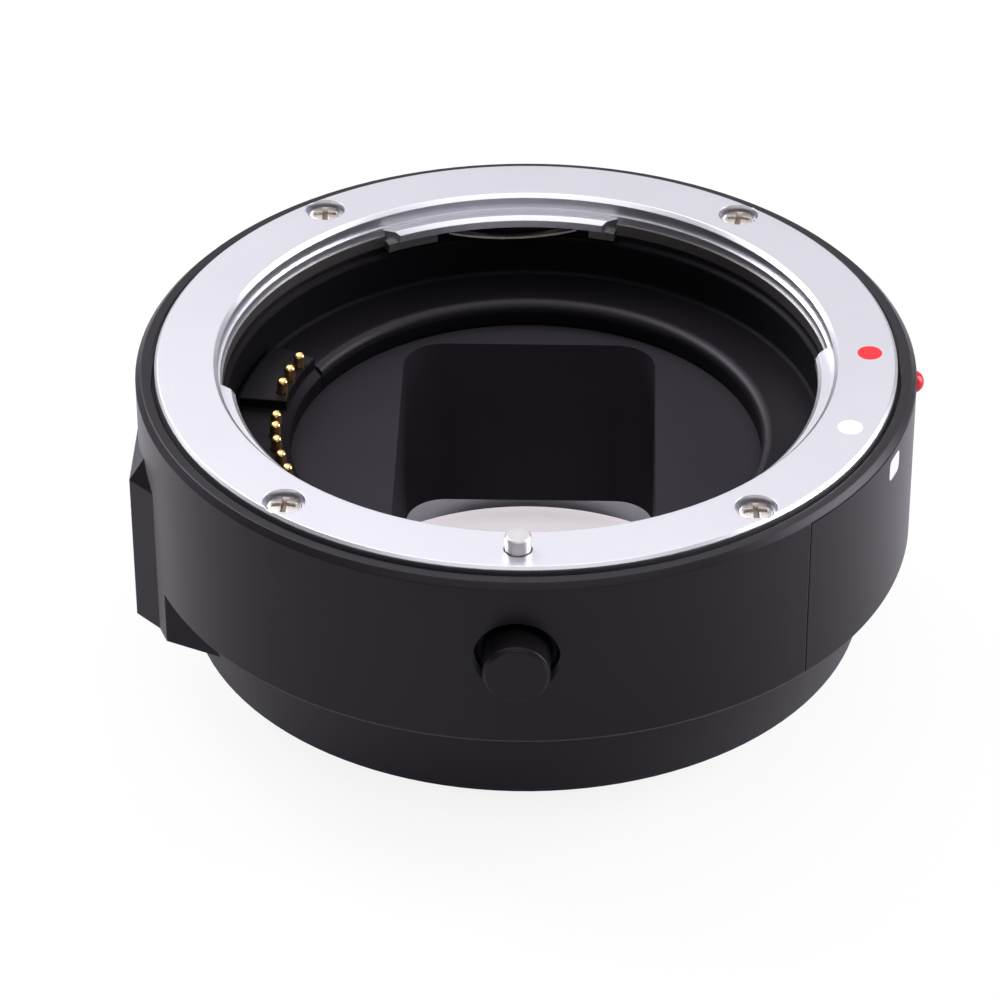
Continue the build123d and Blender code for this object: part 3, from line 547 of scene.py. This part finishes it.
# Inner rim of the ledge: a polished rounding over the bevel, open at the contact block
rim = [(LEDGE_RIM_R + LEDGE_RIM_ROUND * 0.9, LEDGE_Z - LEDGE_RIM_ROUND * 0.8)]
for step in range(9):
    across, up = polar(LEDGE_RIM_ROUND, 90 + 90 * step / 8)
    rim.append((LEDGE_RIM_R + LEDGE_RIM_ROUND + across, LEDGE_Z - LEDGE_RIM_ROUND + up))
rim_gap = 0.5
rim_span = 360 - BLOCK_END + BLOCK_START - 2 * rim_gap
hoop("ledge_rim", rim, "rim", BLOCK_END + rim_gap, rim_span)


def socket_thread(name, sides=36):
    """The tripod socket's thread: one ridge that winds along the wall and fades at both ends."""
    shape = bmesh.new()
    turns = (SOCKET_L - 2 * THREAD_LEAD) / THREAD_PITCH
    flank = THREAD_PITCH * 0.45
    crest = THREAD_PITCH * 0.072
    sunk = 0.03
    rows = []
    for step in range(round(turns * sides) + 1):
        y, z = polar(1.0, 360 * step / sides)
        along = SOCKET_X + THREAD_LEAD + THREAD_PITCH * step / sides
        height = THREAD_RIDGE * min(1.0, step / sides, (turns * sides - step) / sides)
        row = []
        for reach, shift in ((sunk, -flank), (-height, -crest), (-height, crest), (sunk, flank)):
            radius = SOCKET_R + reach
            row.append(shape.verts.new(Vector((along + shift, y * radius, SOCKET_Z + z * radius)) * MM))
        rows.append(row)
    for low, high in zip(rows, rows[1:]):
        bridge(shape, low, high)
    shape.faces.new(rows[0])
    shape.faces.new(list(reversed(rows[-1])))
    piece(name, mesh_of(shape, name), "anodised", "adapter")


socket_thread("socket_thread")


# Stage, in metres: a pale floor that keeps a soft shadow and has a painted shadow under the part, and a
# world that only the camera sees as white

FLOOR_Z = -30.62 * MM
FLOOR_HALF = 3.0
SHADED_R = 0.020
OPEN_R = 0.024
WHITE = (1, 1, 1)
# Pinkish glow colour under the part: the tint of the painted shadow there
PAINTED_SHADOW_WHITE = (1.0, 0.92, 0.98)
SHADED_PAPER = (0.98, 0.95, 0.97)
OPEN_PAPER = (0.50, 0.49, 0.52)
SEEN_PAPER = (0.98, 0.98, 0.98)
# Shares of the camera's white glow by distance from the middle: the low share under the part is a painted
# shadow
WHITE_SHARES = ((SHADED_R, 0.60), (OPEN_R, 0.90), (0.15, 0.90), (0.40, 1.0))
AMBIENT_COLOUR = (0.96, 0.97, 1.0, 1)
AMBIENT = 0.08
LIGHT_COLOUR = (0.98, 0.96, 1.0)


def paper_material():
    """Paper that the camera sees as nearly white, with a dimmer, pinkish painted shadow under the part, and
    that is clear from below.
    """
    material = bpy.data.materials.new("paper")
    paper = Nodes(material)
    paper.tree.nodes.clear()
    from_camera = paper.add("ShaderNodeLightPath").outputs["Is Camera Ray"]
    away = paper.add("ShaderNodeVectorMath", operation="LENGTH")
    paper.link(paper.add("ShaderNodeTexCoord").outputs["Object"], away.inputs[0])
    beside = paper.add("ShaderNodeMapRange", {"From Min": SHADED_R, "From Max": OPEN_R})
    paper.link(away.outputs["Value"], beside.inputs["Value"])
    outside = beside.outputs["Result"]

    lit = paper.blend(outside, SHADED_PAPER, OPEN_PAPER)
    diffuse = paper.add("ShaderNodeBsdfDiffuse")
    paper.link(paper.blend(from_camera, lit, SEEN_PAPER), diffuse.inputs["Color"])

    # The camera's glow is dimmer and pinkish under the part: a painted shadow
    glow = paper.add("ShaderNodeEmission", {"Strength": 1.0})
    paper.link(paper.blend(outside, PAINTED_SHADOW_WHITE, WHITE), glow.inputs["Color"])
    level = paper.add("ShaderNodeValToRGB")
    stops = level.color_ramp.elements
    for distance, _ in WHITE_SHARES[1:-1]:
        stops.new(distance)
    for stop, (distance, value) in zip(stops, WHITE_SHARES):
        stop.position = distance
        stop.color = (value, value, value, 1)
    paper.link(away.outputs["Value"], level.inputs["Fac"])
    share = paper.add("ShaderNodeMath", operation="MULTIPLY")
    paper.link(from_camera, share.inputs[0])
    paper.link(level.outputs[0], share.inputs[1])

    top = paper.add("ShaderNodeMixShader")
    paper.link(share.outputs[0], top.inputs["Fac"])
    paper.link(diffuse.outputs[0], top.inputs[1])
    paper.link(glow.outputs[0], top.inputs[2])
    sided = paper.add("ShaderNodeMixShader")
    paper.link(paper.add("ShaderNodeNewGeometry").outputs["Backfacing"], sided.inputs["Fac"])
    paper.link(top.outputs[0], sided.inputs[1])
    paper.link(paper.add("ShaderNodeBsdfTransparent").outputs[0], sided.inputs[2])
    paper.link(sided.outputs[0], paper.add("ShaderNodeOutputMaterial").inputs["Surface"])
    return material


def studio_world():
    """White for the camera, and a faint even light for the part."""
    world = bpy.data.worlds.new("studio")
    sky = Nodes(world)
    sky.tree.nodes.clear()
    seen = sky.add("ShaderNodeBackground", {"Color": (*WHITE, 1), "Strength": 1.0})
    ambient = sky.add("ShaderNodeBackground", {"Color": AMBIENT_COLOUR, "Strength": AMBIENT})
    mix = sky.add("ShaderNodeMixShader")
    sky.link(sky.add("ShaderNodeLightPath").outputs["Is Camera Ray"], mix.inputs["Fac"])
    sky.link(ambient.outputs[0], mix.inputs[1])
    sky.link(seen.outputs[0], mix.inputs[2])
    sky.link(mix.outputs[0], sky.add("ShaderNodeOutputWorld").inputs["Surface"])
    return world


def softbox(name, place, size, power):
    """A large soft light that faces the object."""
    data = bpy.data.lights.new(name, "AREA")
    data.shape = "RECTANGLE"
    data.size, data.size_y = size
    data.energy = power
    data.color = LIGHT_COLOUR
    light = bpy.data.objects.new(name, data)
    bpy.context.scene.collection.objects.link(light)
    light.location = place
    light.rotation_euler = (-Vector(place)).to_track_quat("-Z", "Y").to_euler()


floor_shape = bmesh.new()
bmesh.ops.create_grid(floor_shape, x_segments=4, y_segments=4, size=FLOOR_HALF)
floor = bpy.data.objects.new("floor", mesh_of(floor_shape, "floor"))
floor.location.z = FLOOR_Z
bpy.context.scene.collection.objects.link(floor)
floor.data.materials.append(paper_material())
bpy.context.scene.world = studio_world()
softbox("top", (0.0, 0.05, 0.62), (0.80, 1.00), 4.2)
softbox("left", (-0.45, 0.35, 0.45), (0.40, 0.40), 3.9)
softbox("right", (0.60, 0.10, 0.20), (0.35, 0.50), 4.2)
softbox("back", (0.0, 0.80, 0.50), (1.40, 0.60), 1.55)
softbox("front", (0.0, -0.80, 0.50), (1.40, 0.60), 1.2)


# Camera, as the photograph's circles place it, with its focal length and shift in picture widths

CAMERA_DISTANCE = 0.3994
CAMERA_ELEVATION = 32.73
CAMERA_AZIMUTH = -88.75
CAMERA_PITCH = 34.58
CAMERA_FOCAL = 4.5595
CAMERA_SHIFT = -0.026
SENSOR_WIDTH = 36.0

camera_data = bpy.data.cameras.new("camera")
camera_data.sensor_width = SENSOR_WIDTH
camera_data.lens = SENSOR_WIDTH * CAMERA_FOCAL
camera_data.shift_x = CAMERA_SHIFT
camera_data.clip_start = 0.01
camera = bpy.data.objects.new("camera", camera_data)
bpy.context.scene.collection.objects.link(camera)
camera_reach, camera_z = polar(CAMERA_DISTANCE, CAMERA_ELEVATION)
camera.location = (*polar(camera_reach, CAMERA_AZIMUTH), camera_z)
camera.rotation_euler = (math.radians(90 - CAMERA_PITCH), 0, math.radians(90 + CAMERA_AZIMUTH))
bpy.context.scene.camera = camera
bpy.context.scene.view_settings.view_transform = "Standard"
